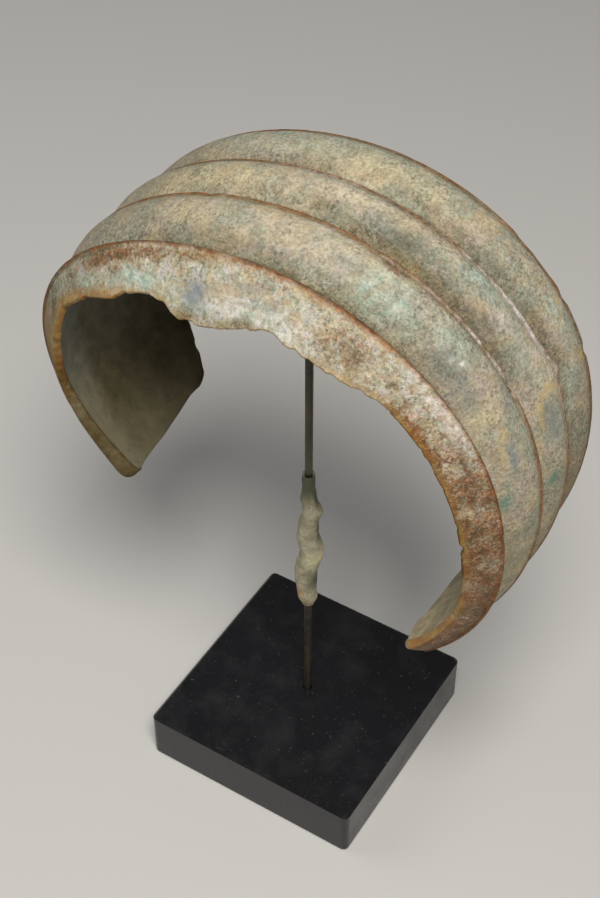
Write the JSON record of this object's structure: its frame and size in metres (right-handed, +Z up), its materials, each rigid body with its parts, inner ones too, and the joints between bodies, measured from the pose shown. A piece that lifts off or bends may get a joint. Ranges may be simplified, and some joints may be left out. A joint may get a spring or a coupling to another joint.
{
  "type": "anklet currency on a display stand",
  "caption": "Thick cast copper-alloy anklet currency: an open ribbed cuff with hollow flutes, held upright on a thin stem with a small black block foot.",
  "frame": {"origin": "centre of the foot's underside, on the stem's axis", "axes": "+Z up along the stem, X across the open ring, +Y along the ring's hole away from the viewer"},
  "size_m": [0.1275, 0.0666, 0.1878],
  "materials": {
    "patina": "worn, beige to grey-green patina with coppery rubbed edges",
    "stem_metal": "dull blackened",
    "pale_putty": "matte, rough",
    "foot_black": "black, slightly glossy"
  },
  "bodies": {
    "root": {"anklet": "patina", "stand_stem": "stem_metal", "stem_lump": "pale_putty", "stand_foot": "foot_black"}
  },
  "joints": []
}
